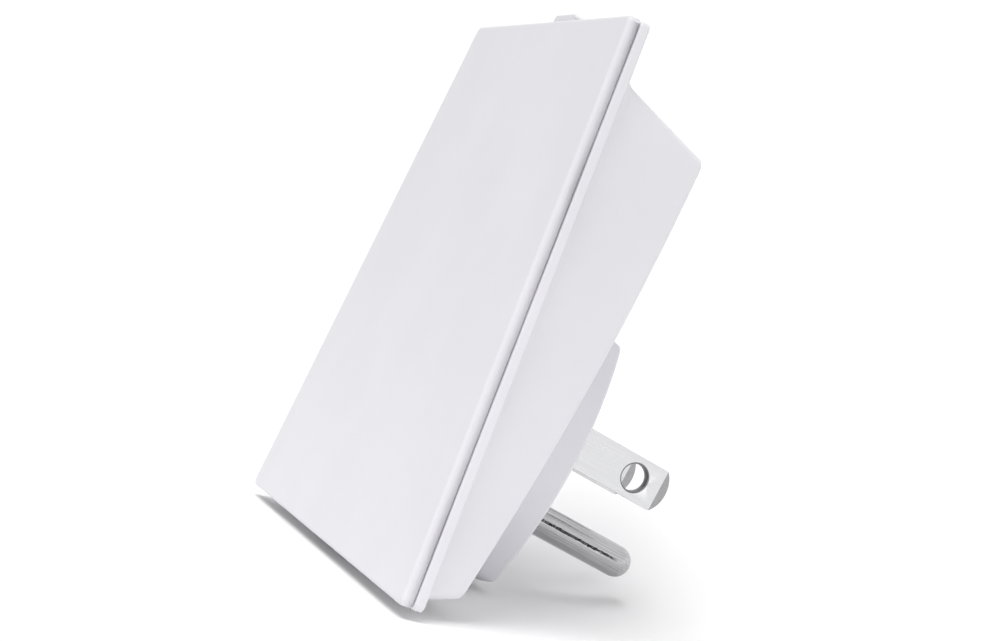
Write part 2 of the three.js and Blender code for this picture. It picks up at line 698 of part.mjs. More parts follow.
/** One flat blade: rounded and thinned tip, hole, shoulder inside and a narrow tail for its lead. */
function blade(x) {
  const half = BLADE_WIDTH / 2;
  const tip = arcThrough(half, BLADE_REACH - BLADE_TIP_SAG, BLADE_TIP_SAG);
  const outline = [
    [-half, shoulderBack],
    [-SHOULDER_WIDTH / 2, shoulderBack],
    [-SHOULDER_WIDTH / 2, shoulderFront],
    [-TAIL_WIDTH / 2, shoulderFront],
    [-TAIL_WIDTH / 2, tailFront],
    [TAIL_WIDTH / 2, tailFront],
    [TAIL_WIDTH / 2, shoulderFront],
    [SHOULDER_WIDTH / 2, shoulderFront],
    [SHOULDER_WIDTH / 2, shoulderBack],
    [half, shoulderBack],
  ].map(([z, y]) => new THREE.Vector2(y, z));
  const shape = new THREE.Shape([...outline, ...tip].reverse());
  shape.holes.push(new THREE.Path(arc(BLADE_HOLE_REACH, 0, BLADE_HOLE / 2, 0, 345, 23)));
  const flat = new THREE.ExtrudeGeometry(shape, { depth: BLADE_THICKNESS, bevelEnabled: false });
  // the outline's own x runs along the part's y, its y along z, and its depth along x
  flat.applyMatrix4(new THREE.Matrix4().makeBasis(
    new THREE.Vector3(0, 1, 0), new THREE.Vector3(0, 0, 1), new THREE.Vector3(1, 0, 0),
  ));
  flat.translate(x - BLADE_THICKNESS / 2, 0, BLADE_RISE);
  const thin = (BLADE_THICKNESS - BLADE_TIP_THICKNESS) / 2;
  const slopeStart = BLADE_REACH - BLADE_TIP_SAG;
  const wedge = (side) => {
    const face = x + (side * BLADE_THICKNESS) / 2;
    const profile = new THREE.Shape([
      new THREE.Vector2(face, slopeStart),
      new THREE.Vector2(face + side, slopeStart - 0.01),
      new THREE.Vector2(face + side, BLADE_REACH + 1),
      new THREE.Vector2(face - side * thin * (1 + 1 / BLADE_TIP_SAG), BLADE_REACH + 1),
    ]);
    const cut = new THREE.ExtrudeGeometry(profile, { depth: BLADE_WIDTH + 2, bevelEnabled: false });
    return cut.translate(0, 0, BLADE_RISE - half - 1);
  };
  return carve([flat], [wedge(1), wedge(-1)]);
}

/** Points of a shallow arc that bulges by sag past y, from +half to -half across. */
function arcThrough(half, y, sag) {
  const radius = (half * half + sag * sag) / (2 * sag);
  const spread = THREE.MathUtils.radToDeg(Math.asin(half / radius));
  return arc(y + sag - radius, 0, radius, spread, -spread, 2 * ARC_STEPS);
}

/** The ground pin: round tip outside, a flange that the clamp holds, and a short tail. */
function groundPin() {
  const radius = PIN_DIAMETER / 2;
  const dome = arc(0, 0, radius, 0, 90, 8).map((p) => [Math.max(p.x, 0), PIN_REACH - radius + p.y]);
  dome[dome.length - 1][0] = 0;
  return turned(
    [
      [0, tailFront],
      [TAIL_WIDTH / 2, tailFront],
      [TAIL_WIDTH / 2, shoulderFront],
      [PIN_FLANGE / 2, shoulderFront],
      [PIN_FLANGE / 2, shoulderBack],
      [radius, shoulderBack],
      ...dome,
    ],
    0,
    pinRise,
  );
}

/** The insulating block in the boss that the prongs pass through. */
function bladeCarrier() {
  const block = plate(() => bossOutline(BOSS_WALL + GAP), carrierFront, carrierBack, 0, 0);
  const holes = prongPlaces().map(({ x, z, width, thickness, round }) =>
    round
      ? rod(x, z, width / 2 + GAP, carrierFront - 1, carrierBack + 1)
      : box(
          x - thickness / 2 - GAP, carrierFront - 1, z - width / 2 - GAP,
          x + thickness / 2 + GAP, carrierBack + 1, z + width / 2 + GAP,
        ),
  );
  const pilots = clampScrewPlaces.map(([, x]) =>
    rod(x, pinRise, screwHole, clampFront - CLAMP_SCREW_LENGTH, carrierFront + CLAMP_SCREW_LENGTH, 16),
  );
  return carve([block], [...holes, ...pilots]);
}

/** The plate that holds the prongs' shoulders down on the carrier. */
function bladeClamp() {
  const top = BLADE_RISE + SHOULDER_WIDTH / 2 + CLAMP_RIM;
  const bottom = pinRise - PIN_FLANGE / 2 - CLAMP_RIM;
  const halfWidthAt = (z) => bossHalfWidth(z) - BOSS_WALL - CLAMP_SIDE_STEP;
  const body = plate(
    () => trapezoidOutline(trapezoid(halfWidthAt(top), halfWidthAt(bottom), top, bottom), 1.2, 1),
    clampFront,
    clampBack,
    0,
    0,
  );
  const [halfSlot, halfTail] = [BLADE_THICKNESS / 2 + GAP, TAIL_WIDTH / 2 + GAP];
  const slots = [-BLADE_SPACING / 2, BLADE_SPACING / 2].map((x) =>
    box(
      x - halfSlot, clampFront - 1, BLADE_RISE - halfTail,
      x + halfSlot, clampBack + 1, BLADE_RISE + halfTail,
    ),
  );
  const tailHole = rod(0, pinRise, halfTail, clampFront - 1, clampBack + 1);
  const screwHoles = clampScrewPlaces.map(([, x]) =>
    rod(x, pinRise, screwHole, clampFront - 1, clampBack + 1, 16),
  );
  return carve([body], [...slots, tailHole, ...screwHoles]);
}

/** A pan-head screw along y: head on the side of sign, tip the other way, with a cross recess. */
function screw(x, z, seatY, length, sign) {
  const shank = SCREW_SHANK / 2;
  const head = SCREW_HEAD / 2;
  const profile = [
    [0, -length],
    [shank * 0.4, -length],
    [shank, -length + 1],
    [shank, 0],
    [head, 0],
    [head, SCREW_HEAD_HEIGHT * 0.6],
    [head * 0.7, SCREW_HEAD_HEIGHT],
    [0, SCREW_HEAD_HEIGHT],
  ];
  const body = turned(profile, 0, 0, 16);
  const arm = head * 0.55;
  const bit = 0.28;
  const deep = SCREW_HEAD_HEIGHT * 0.5;
  const above = 2 * SCREW_HEAD_HEIGHT;
  const cross = [box(-arm, deep, -bit, arm, above, bit), box(-bit, deep, -arm, bit, above, arm)];
  const geometry = carve([body], cross);
  if (sign < 0) geometry.applyMatrix4(new THREE.Matrix4().makeRotationX(Math.PI));
  return geometry.translate(x, seatY, z);
}

// ---------------------------------------------------------------- main board

/** The board: a trapezoid that clears the lip, notched around the screw columns. */
function mainBoard() {
  const inner = bodyFront(WALL + BOARD_MARGIN);
  const slope = (inner.halfBottom - inner.halfTop) / (inner.top - inner.bottom);
  const halfTop = inner.halfTop + (inner.top - boardTop) * slope;
  const shape = trapezoid(halfTop, inner.halfBottom, boardTop, inner.bottom);
  const board = plate(() => trapezoidOutline(shape, 1.5, 1), boardFront, boardBack, 0, 0);
  const notches = columnPlaces.map(({ x, z }) =>
    rod(x, z, COLUMN_DIAMETER / 2 + 2 * GAP, boardFront - 1, boardBack + 1),
  );
  // the corners outside the columns go with the notches, so that no sliver is left
  const corners = columnPlaces.map(({ x, z }) => {
    const [sideX, sideZ] = [Math.sign(x) * COVER_BOTTOM_WIDTH, Math.sign(z) * COVER_HEIGHT];
    return box(
      Math.min(x, sideX), boardFront - 1, Math.min(z, sideZ),
      Math.max(x, sideX), boardBack + 1, Math.max(z, sideZ),
    );
  });
  return carve([board], [...notches, ...corners]);
}

const onBoard = boardBack + GAP;

// The board is laid out in equal rows, and across each row in shares of the board's half width.
// Its parts are sized in one unit, so that they shrink together where the board, or the depth
// behind it, leaves less room.
const boardEdge = bodyFront(WALL + BOARD_MARGIN);
const boardHalfWidth = (z) =>
  THREE.MathUtils.mapLinear(z, boardEdge.top, boardEdge.bottom, boardEdge.halfTop, boardEdge.halfBottom);
const rowPitch = (boardTop - boardEdge.bottom) / BOARD_ROWS;
const rowHeight = (row) => (boardTop + boardEdge.bottom) / 2 + row * rowPitch;
const tallRow = rowHeight(CAN_ROW) - (CAN_LENGTH / 2) * rowPitch;
const tallRoom = backPoint(0, tallRow, WALL + GAP).y - onBoard;
const unit = Math.min(
  rowPitch,
  (2 * boardHalfWidth(boardTop)) / BOARD_TOP_UNITS,
  (2 * boardEdge.halfBottom) / BOARD_BOTTOM_UNITS,
  tallRoom / TALL_UNITS,
);

/** The place of a part on the board, from its share of the half width and its row. */
function spot(share, row) {
  const z = rowHeight(row);
  return { x: share * boardHalfWidth(z), z };
}

/** A block on the board, from its place and its size across, up and off the board in units. */
function block({ x, z }, width, height, depth) {
  const [halfWidth, halfHeight] = [(width * unit) / 2, (height * unit) / 2];
  return box(x - halfWidth, onBoard, z - halfHeight, x + halfWidth, onBoard + depth * unit, z + halfHeight);
}

/** A can lying on the board along z, with a crimp ring near its lower end. */
function lyingCan({ x, z }, diameter, length) {
  const r = (diameter * unit) / 2;
  const half = (length * unit) / 2;
  const crimp = 0.4 * r;
  const profile = [
    [0, -half],
    [r * 0.9, -half],
    [r, -half + crimp / 2],
    [r, -half + crimp],
    [r * 0.88, -half + 1.3 * crimp],
    [r, -half + 1.6 * crimp],
    [r, half - 0.1 * r],
    [r * 0.9, half],
    [0, half],
  ];
  const can = turned(profile, 0, 0);
  can.applyMatrix4(new THREE.Matrix4().makeRotationX(Math.PI / 2));
  return can.translate(x, onBoard + r, z);
}

/** A can that stands off the board. */
const standingCan = ({ x, z }, diameter, depth) =>
  rod(x, z, (diameter * unit) / 2, onBoard, onBoard + depth * unit);

// transformer: a wound bobbin inside a ferrite frame, in units
const CORE = { width: 2, height: 5, depth: 3.3, leg: 0.9 };
const BOBBIN = { width: 5.2, height: 4.4, depth: 3.1 };
const corePlace = spot(0.536, 6.4);
const coreHalf = (CORE.width * unit) / 2;
const windowHalf = (CORE.height / 2 - CORE.leg) * unit;
const windowFront = onBoard + CORE.leg * unit;
const windowBack = onBoard + (CORE.depth - CORE.leg) * unit;

function transformerCore() {
  const { x, z } = corePlace;
  const reach = 2 * coreHalf;
  const opening = box(x - reach, windowFront, z - windowHalf, x + reach, windowBack, z + windowHalf);
  return carve([block(corePlace, CORE.width, CORE.height, CORE.depth)], [opening]);
}

function transformerBobbin() {
  const { x, z } = corePlace;
  const half = (BOBBIN.width * unit) / 2;
  const reach = windowHalf - GAP;
  const drum = box(x - half, windowFront + GAP, z - reach, x + half, windowBack - GAP, z + reach);
  const ends = block(corePlace, BOBBIN.width, BOBBIN.height, BOBBIN.depth);
  const between = box(
    x - coreHalf - GAP, onBoard - 1, z - half - 1,
    x + coreHalf + GAP, onBoard + CORE.depth * unit, z + half + 1,
  );
  return geometryOf(solid(ends).subtract(solid(between)).add(solid(drum)));
}

/** A drum choke standing off the board: two flanges and a waist. */
function lineChoke({ x, z }, diameter, depth) {
  const r = (diameter * unit) / 2;
  const flange = 0.2 * depth * unit;
  const back = onBoard + depth * unit;
  const waist = 0.78 * r;
  return turned(
    [
      [0, onBoard], [r, onBoard], [r, onBoard + flange], [waist, onBoard + 1.3 * flange],
      [waist, back - 1.3 * flange], [r, back - flange], [r, back], [0, back],
    ],
    x,
    z,
  );
}

/** The disc of the varistor, standing on its edge. */
function varistor({ x, z }, diameter, thickness) {
  const r = (diameter * unit) / 2;
  const disc = new THREE.CylinderGeometry(r, r, thickness * unit, ROUND);
  disc.applyMatrix4(new THREE.Matrix4().makeRotationZ(Math.PI / 2));
  return disc.translate(x, onBoard + r, z);
}

// radio module: its own board with a chip under a shield can, and a bent antenna beside them
const RADIO = { width: 6.8, height: 4.8, board: 0.32 };
const CAN = { shift: -0.95, width: 4.3, height: 3.9, depth: 0.9 };
const CHIP = { size: 2, depth: 0.36 };
const ANTENNA = { shift: 2.7, width: 0.56, height: 3.8, stand: 1.2, strip: 0.25, legs: [-1.6, -0.4] };
const SHEET = 0.4; // the can's sheet, mm
const radioPlace = spot(0.712, -5);
const onRadio = onBoard + RADIO.board * unit + GAP;

const radioBoard = () => block(radioPlace, RADIO.width, RADIO.height, RADIO.board);

/** A box centred on the radio board's middle row, off the radio board by front and back, in mm. */
function onRadioBox(shift, halfWidth, halfHeight, front, back, up = 0) {
  const x = radioPlace.x + shift * unit;
  const z = radioPlace.z + up;
  return box(x - halfWidth, onRadio + front, z - halfHeight, x + halfWidth, onRadio + back, z + halfHeight);
}

function radioShield() {
  const [halfWidth, halfHeight] = [(CAN.width * unit) / 2, (CAN.height * unit) / 2];
  const depth = CAN.depth * unit;
  const outer = onRadioBox(CAN.shift, halfWidth, halfHeight, 0, depth);
  const inner = onRadioBox(CAN.shift, halfWidth - SHEET, halfHeight - SHEET, -1, depth - SHEET);
  return carve([outer], [inner]);
}

const radioChip = () =>
  onRadioBox(CAN.shift, (CHIP.size * unit) / 2, (CHIP.size * unit) / 2, 0, CHIP.depth * unit);

function antenna() {
  const half = (ANTENNA.width * unit) / 2;
  const stand = ANTENNA.stand * unit;
  const reach = (ANTENNA.height * unit) / 2;
  const arm = onRadioBox(ANTENNA.shift, half, reach, stand - ANTENNA.strip * unit, stand);
  const legs = ANTENNA.legs.map((up) => onRadioBox(ANTENNA.shift, half, half, 0, stand, up * unit));
  return carve([arm, ...legs]);
}

/** The point of the cover frame as a point of the part. */
const fromCover = (x, y, z) => new THREE.Vector3(x, y, z).applyMatrix4(coverMatrix);

/** A lead from a prong's tail, at (x, z) of the seat frame, to a pad on the board. */
const prongLead = (x, z, pad) =>
  lead(new THREE.Vector3(x, tailFront - GAP, z), fromCover(pad.x, onBoard + GAP, pad.z), LEAD_DIAMETER / 2);

// ---------------------------------------------------------------- assembly

place(coverGroup, 'front_cover', frontCover(), finishes.shell);
place(coverGroup, 'rear_housing', rearHousing(), finishes.shell);
place(coverGroup, 'top_button', topButton(), finishes.shell);
for (const { name, x, z, recessFloor } of columnPlaces) {
  const geometry = screw(x, z, recessFloor + GAP / 2, COVER_SCREW_LENGTH, 1);
  place(coverGroup, `cover_screw_${name}`, geometry, finishes.steel);
}

place(part, 'blade_carrier', bladeCarrier(), finishes.carrier);
place(part, 'neutral_blade', blade(-BLADE_SPACING / 2), finishes.nickel);
place(part, 'line_blade', blade(BLADE_SPACING / 2), finishes.nickel);
place(part, 'ground_pin', groundPin(), finishes.nickel);
place(part, 'blade_clamp', bladeClamp(), finishes.carrier);
for (const [side, x] of clampScrewPlaces) {
  const geometry = screw(x, pinRise, clampFront - GAP / 2, CLAMP_SCREW_LENGTH, -1);
  place(part, `clamp_screw_${side}`, geometry, finishes.steel);
}

place(coverGroup, 'main_board', mainBoard(), finishes.board);
place(coverGroup, 'tact_switch', tactSwitch(), finishes.black);
place(coverGroup, 'tact_plunger', tactPlunger(), finishes.carrier);
for (const [side, share] of [['left', -0.637], ['right', -0.311]]) {
  const can = lyingCan(spot(share, CAN_ROW), CAN_DIAMETER, CAN_LENGTH);
  place(coverGroup, `bulk_capacitor_${side}`, can, finishes.sleeve);
}
place(coverGroup, 'transformer_core', transformerCore(), finishes.ferrite);
place(coverGroup, 'transformer_bobbin', transformerBobbin(), finishes.winding);
place(coverGroup, 'film_capacitor', block(spot(-0.635, 1.6), 5.2, 2.4, 2.4), finishes.film);
place(coverGroup, 'supply_controller', block(spot(0.569, 1.6), 2, 1.6, 0.65), finishes.black);
place(coverGroup, 'output_capacitor', standingCan(spot(0.837, 1), 2.4, 2.4), finishes.sleeve);
place(coverGroup, 'varistor', varistor(spot(-0.841, -2.3), 2.4, 1.3), finishes.ceramic);
place(coverGroup, 'line_choke', lineChoke(spot(-0.62, -2), 2.8, 2.2), finishes.ferrite);
place(coverGroup, 'bridge_rectifier', block(spot(-0.567, -5.6), 2.5, 1.9, 1), finishes.black);
place(coverGroup, 'fuse', lyingCan(spot(-0.833, -6.2), 1.2, 3.2), finishes.glass);
place(coverGroup, 'radio_board', radioBoard(), finishes.board);
place(coverGroup, 'radio_chip', radioChip(), finishes.black);
place(coverGroup, 'radio_shield', radioShield(), finishes.tin);
place(coverGroup, 'antenna', antenna(), finishes.tin);

const bladeOffset = BLADE_SPACING / 2;
place(part, 'neutral_lead', prongLead(-bladeOffset, BLADE_RISE, spot(-0.338, -1.4)), finishes.whiteLead);
place(part, 'line_lead', prongLead(bladeOffset, BLADE_RISE, spot(0.323, -1)), finishes.black);
place(part, 'ground_lead', prongLead(0, pinRise, spot(0, -9)), finishes.greenLead);

export default part;
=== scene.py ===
"""Looks of a plug-in smart home module with a grounded three-prong plug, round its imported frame.

The pieces that show get finer meshes than their frame solids, every solid gets a procedural finish,
and a small studio with a pale floor holds the camera and the lights. Sizes are in millimetres.
"""
import json
import logging
import math
from dataclasses import dataclass, field
from enum import Enum
from typing import Any, Iterator

import bmesh
import bpy
from mathutils import Matrix, Vector, noise


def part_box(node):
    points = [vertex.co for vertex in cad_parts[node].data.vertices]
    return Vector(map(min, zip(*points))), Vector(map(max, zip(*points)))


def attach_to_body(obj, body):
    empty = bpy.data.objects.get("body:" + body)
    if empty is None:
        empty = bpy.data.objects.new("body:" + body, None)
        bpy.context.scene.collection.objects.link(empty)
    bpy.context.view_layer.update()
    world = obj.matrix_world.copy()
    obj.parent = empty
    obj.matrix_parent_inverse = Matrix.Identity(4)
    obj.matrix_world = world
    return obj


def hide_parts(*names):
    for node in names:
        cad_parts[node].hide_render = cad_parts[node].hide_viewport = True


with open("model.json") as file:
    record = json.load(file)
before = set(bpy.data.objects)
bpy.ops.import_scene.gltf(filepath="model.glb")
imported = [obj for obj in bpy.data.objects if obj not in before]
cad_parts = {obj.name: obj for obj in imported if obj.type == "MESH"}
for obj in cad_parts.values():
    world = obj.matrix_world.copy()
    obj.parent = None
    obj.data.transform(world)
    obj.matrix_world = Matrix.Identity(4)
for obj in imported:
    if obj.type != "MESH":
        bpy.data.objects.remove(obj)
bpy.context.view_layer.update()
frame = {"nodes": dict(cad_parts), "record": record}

MM = 0.001
COLOUR_SPAN = (0.35, 0.65)  # the part of a pattern over which the colour changes
GLOSS_SPAN = (0.3, 0.7)  # the part over which the roughness changes
LOG = logging.getLogger("plug_in_module")

RECORD = frame["record"]
BODY_OF = {node: body for body, nodes in RECORD["behaviour"]["bodies"].items() for node in nodes}
SLOT_OF = {row["node"]: row["material_slot"] for row in RECORD["subparts"]}


# ------------------------------------------------------------------ nodes and colours


def linear(colour: str) -> tuple[float, float, float, float]:
    """Turns an sRGB colour to linear light.

    Args:
        colour: Six hex digits, such as "F0EFF4".

    Returns:
        Red, green, blue and an alpha of 1.
    """
    parts = (int(colour[i : i + 2], 16) / 255 for i in (0, 2, 4))
    red, green, blue = (p / 12.92 if p <= 0.04045 else ((p + 0.055) / 1.055) ** 2.4 for p in parts)
    return red, green, blue, 1.0


def add_node(
    tree: bpy.types.NodeTree, kind: str, inputs: dict[str | int, Any] | None = None, **settings: Any
) -> bpy.types.Node:
    """Adds a node with its settings, values and links.

    Args:
        tree: The node tree that gets the node.
        kind: The node's type name.
        inputs: Values or output sockets, by the input's name or number.
        settings: The node's own attributes.

    Returns:
        The new node.
    """
    node = tree.nodes.new(kind)
    for name, value in settings.items():
        setattr(node, name, value)
    for key, value in (inputs or {}).items():
        if isinstance(value, bpy.types.NodeSocket):
            tree.links.new(value, node.inputs[key])
        else:
            node.inputs[key].default_value = value
    return node


# ------------------------------------------------------------------ finishes


@dataclass(frozen=True)
class Finish:
    """A surface: two close colours that mottle, its gloss, and a fine relief."""

    name: str
    base: str
    tint: str
    roughness: float
    metallic: float = 0.0
    ior: float = 1.5
    cloud: float = 12.0  # size of the colour's mottling
    grain: float = 0.4  # size of the relief
    relief: float = 0.004  # depth of the relief
    spread: float = 0.05  # how much the roughness wanders

    def material(self) -> bpy.types.Material:
        """Returns the finish as a material, made once."""
        made = bpy.data.materials.get(self.name)
        if made:
            return made
        made = bpy.data.materials.new(self.name)
        made.use_nodes = True
        made.diffuse_color = linear(self.base)
        tree = made.node_tree
        tree.nodes.clear()
        shader = add_node(tree, "ShaderNodeBsdfPrincipled", {"Metallic": self.metallic})
        if not self.metallic:
            shader.inputs["IOR"].default_value = self.ior
        add_node(tree, "ShaderNodeOutputMaterial", {"Surface": shader.outputs[0]})
        place = add_node(tree, "ShaderNodeTexCoord").outputs["Object"]
        self.paint(tree, shader, place)
        return made

    def paint(
        self, tree: bpy.types.NodeTree, shader: bpy.types.Node, place: bpy.types.NodeSocket
    ) -> None:
        """Links colour, roughness and relief to the shader.

        Args:
            tree: The material's node tree.
            shader: Its shader node.
            place: The object coordinates.
        """
        cloud = self.noise(tree, place, self.cloud, detail=3.0)
        self.link_colour(tree, shader, cloud)
        grain = self.noise(tree, place, self.grain, detail=2.0)
        self.link_gloss(tree, shader, grain)
        self.link_relief(tree, shader, grain)

    def noise(
        self, tree: bpy.types.NodeTree, place: bpy.types.NodeSocket, size: float, detail: float
    ) -> bpy.types.NodeSocket:
        """Returns a noise of that size in millimetres, with that many octaves."""
        values = {"Vector": place, "Scale": 1 / (size * MM), "Detail": detail}
        return add_node(tree, "ShaderNodeTexNoise", values).outputs[0]

    def link_colour(
        self, tree: bpy.types.NodeTree, shader: bpy.types.Node, share: bpy.types.NodeSocket
    ) -> None:
        """Colours the shader by the mix of the finish's two colours."""
        tree.links.new(self.mixed(tree, share), shader.inputs["Base Color"])

    def mixed(
        self, tree: bpy.types.NodeTree, share: bpy.types.NodeSocket
    ) -> bpy.types.NodeSocket:
        """Returns the finish's two colours mixed by a pattern's share from 0 to 1."""
        ramp = add_node(tree, "ShaderNodeValToRGB", {"Fac": share})
        colours = (self.base, self.tint)
        for stop, position, colour in zip(ramp.color_ramp.elements, COLOUR_SPAN, colours):
            stop.position, stop.color = position, linear(colour)
        return ramp.outputs["Color"]

    def link_gloss(
        self, tree: bpy.types.NodeTree, shader: bpy.types.Node, share: bpy.types.NodeSocket
    ) -> None:
        """Lets the roughness wander about its value by the finish's spread."""
        limits = {
            "Value": share,
            "From Min": GLOSS_SPAN[0],
            "From Max": GLOSS_SPAN[1],
            "To Min": self.roughness - self.spread,
            "To Max": self.roughness + self.spread,
        }
        gloss = add_node(tree, "ShaderNodeMapRange", limits)
        tree.links.new(gloss.outputs[0], shader.inputs["Roughness"])

    def link_relief(
        self, tree: bpy.types.NodeTree, shader: bpy.types.Node, height: bpy.types.NodeSocket
    ) -> None:
        """Turns a height from 0 to 1 into relief of the finish's depth."""
        values = {"Height": height, "Distance": self.relief * MM, "Strength": 1.0}
        bump = add_node(tree, "ShaderNodeBump", values)
        tree.links.new(bump.outputs[0], shader.inputs["Normal"])


@dataclass(frozen=True)
class Drawn(Finish):
    """Plated metal that was drawn or rolled along the prongs: fine lines along +Y."""

    line: float = 0.16  # width of a drawn line
    run: float = 9.0  # length of a drawn line
    # Near black, for the pin's dark seam and for painted dark reflection on the blades' hole rims and
    # tip.
    seam_and_painted_reflection_colour: str = "141312"

    def paint(
        self, tree: bpy.types.NodeTree, shader: bpy.types.Node, place: bpy.types.NodeSocket
    ) -> None:
        """Links lines for colour, gloss and relief, and darkens the colour where the seam attribute is
        set: the pin's seam, and painted reflection on the blades' hole rims and tip.
        """
        scale = (1 / (self.line * MM), 1 / (self.run * MM), 1 / (self.line * MM))
        along = add_node(tree, "ShaderNodeMapping", {"Vector": place, "Scale": scale})
        lines = add_node(
            tree, "ShaderNodeTexNoise", {"Vector": along.outputs[0], "Scale": 1.0, "Detail": 3.0}
        )
        metal = self.mixed(tree, lines.outputs[0])
        # The seam attribute holds the pin's dark seam, and on the blades a painted dark reflection at
        # the hole's rims and tip.
        seam = add_node(tree, "ShaderNodeAttribute", attribute_name="seam")
        tree.links.new(self.darkened_for_seam_and_painted_reflection(tree, metal, seam.outputs["Fac"]), shader.inputs["Base Color"])
        self.link_gloss(tree, shader, lines.outputs[0])
        self.link_relief(tree, shader, lines.outputs[0])

    def darkened_for_seam_and_painted_reflection(
        self, tree: bpy.types.NodeTree, metal: bpy.types.NodeSocket, share: bpy.types.NodeSocket
    ) -> bpy.types.NodeSocket:
        """Returns the metal's colour, darkened to near black where share is 1: the pin's seam, and
        painted reflection on the blades.
        """
        mix = add_node(tree, "ShaderNodeMix", data_type="RGBA")
        factor, first, second = mix.inputs[0], mix.inputs[6], mix.inputs[7]
        tree.links.new(share, factor)
        tree.links.new(metal, first)
        second.default_value = linear(self.seam_and_painted_reflection_colour)
        return mix.outputs[2]


@dataclass(frozen=True)
class Laminate(Finish):
    """Glass-epoxy board: solder mask over a weave, with paler tracks."""

    thread: float = 0.5  # pitch of the glass weave
    track: float = 2.2  # pitch of the tracks

    def paint(
        self, tree: bpy.types.NodeTree, shader: bpy.types.Node, place: bpy.types.NodeSocket
    ) -> None:
        """Links tracks for the colour and the weave for the relief."""
        tracks = add_node(
            tree,
            "ShaderNodeTexVoronoi",
            {"Vector": place, "Scale": 1 / (self.track * MM), "Randomness": 0.4},
            distance="CHEBYCHEV",
        )
        self.link_colour(tree, shader, tracks.outputs["Distance"])
        weave = add_node(
            tree,
            "ShaderNodeTexWave",
            {"Vector": place, "Scale": 1 / (self.thread * MM * 2), "Distortion": 1.5},
            bands_direction="DIAGONAL",
        )
        self.link_gloss(tree, shader, weave.outputs["Fac"])
        self.link_relief(tree, shader, weave.outputs["Fac"])


@dataclass(frozen=True)
class Wound(Finish):
    """Tape or wire wound in turns along an axis."""

    turn: float = 0.5  # pitch of the turns
    axis: str = "X"

    def paint(
        self, tree: bpy.types.NodeTree, shader: bpy.types.Node, place: bpy.types.NodeSocket
    ) -> None:
        """Links the turns for colour, gloss and relief."""
        turns = add_node(
            tree,
            "ShaderNodeTexWave",
            {"Vector": place, "Scale": 0.314 / (self.turn * MM), "Distortion": 0.4},
            bands_direction=self.axis,
        )
        self.link_colour(tree, shader, turns.outputs["Fac"])
        self.link_gloss(tree, shader, turns.outputs["Fac"])
        self.link_relief(tree, shader, turns.outputs["Fac"])


@dataclass(frozen=True)
class Speckled(Finish):
    """Sintered or plated surface of small cells: ferrite, zinc spangle, fired ceramic."""

    cell: float = 0.6

    def paint(
        self, tree: bpy.types.NodeTree, shader: bpy.types.Node, place: bpy.types.NodeSocket
    ) -> None:
        """Links the cells for colour and gloss, and fine noise for the relief."""
        cells = add_node(
            tree, "ShaderNodeTexVoronoi", {"Vector": place, "Scale": 1 / (self.cell * MM)}
        )
        self.link_colour(tree, shader, cells.outputs["Distance"])
        self.link_gloss(tree, shader, cells.outputs["Distance"])
        self.link_relief(tree, shader, self.noise(tree, place, self.grain, detail=2.0))


# Cool white ABS, injection moulded in a finely sparked tool: a satin skin with a soft highlight.
# The sparked grain is about 0.1 mm, drawn coarser here so that it shows.
WHITE_ABS = Finish("satin_moulded_abs", "E6E5EA", "E3E2E7", 0.42, grain=0.35, relief=0.0022, cloud=18)
# The button is moulded in a smoother tool, so its highlight is a little tighter.
BUTTON_ABS = Finish("smooth_moulded_abs", "E7E6EB", "E4E3E8", 0.34, grain=0.3, relief=0.001, cloud=9)
# Brass strip, blanked, polished and nickel plated: bright, with faint lines along the blade.
BLADE_NICKEL = Drawn(
    "nickel_plated_brass_strip", "D8D8DA", "D3D3D5", 0.3, metallic=1.0, relief=0.0004, spread=0.05
)
# Brass sheet rolled into a pin and nickel plated: greyer, with stronger lines and a sooty seam.
PIN_NICKEL = Drawn(
    "nickel_plated_rolled_pin", "C4C4C6", "A3A3A6", 0.22, metallic=1.0, relief=0.003, spread=0.08
)
# Steel screws, zinc plated: a grey, faintly spangled shine.
ZINC_STEEL = Speckled(
    "zinc_plated_steel", "B9BBBF", "A5A8AD", 0.32, metallic=1.0, cell=0.5, relief=0.002
)
# Unfilled nylon 66, moulded: a creamy, slightly waxy body.
NYLON = Finish("natural_nylon_66", "E8E5DA", "E2DED1", 0.5, ior=1.53, cloud=6, grain=0.5)
# Woven glass in epoxy under green solder mask, which shines between the tracks.
BOARD_LAMINATE = Laminate("green_mask_glass_epoxy", "1E5A38", "2C7048", 0.35, ior=1.55)
# Black epoxy moulded over chips: dull, with a fine ejector-pin texture.
CHIP_EPOXY = Finish("moulded_epoxy", "1B1C1F", "232427", 0.55, cloud=4, grain=0.15, relief=0.006)
# Sintered ferrite: dark grey, matt, with pressed grain.
FERRITE = Speckled("sintered_ferrite", "37373A", "444448", 0.7, cell=0.3, relief=0.01)
# Polyester tape over the transformer's windings: yellow, glossy, in turns.
WINDING_TAPE = Wound("polyester_tape", "D9A93A", "C9962A", 0.35, turn=1.6, relief=0.03)
# PET sleeve shrunk over aluminium cans: dark blue and glossy, faintly wrinkled.
CAN_SLEEVE = Finish("shrunk_pet_sleeve", "232C3A", "2B3648", 0.25, ior=1.57, cloud=5, grain=2.5)
# Epoxy-dipped disc: blue, glossy and uneven.
DIPPED_EPOXY = Finish("dipped_epoxy", "2B67A8", "24599A", 0.3, cloud=2, grain=1.5, relief=0.02)
# PBT box of the film capacitor: yellow and dull.
FILM_BOX = Finish("moulded_pbt_box", "D6B23E", "CFA934", 0.5, cloud=5, grain=0.3)
# Fired ceramic tube of the fuse: cream and slightly glossy.
FUSE_CERAMIC = Speckled("fired_ceramic", "E5E0CC", "DAD3BA", 0.35, cell=0.8, relief=0.002)
# Tin-plated steel sheet of the can and the antenna: soft grey shine.
TIN_SHEET = Speckled(
    "tin_plated_sheet", "C2C4C6", "B2B5B8", 0.38, metallic=1.0, cell=1.2, relief=0.002
)
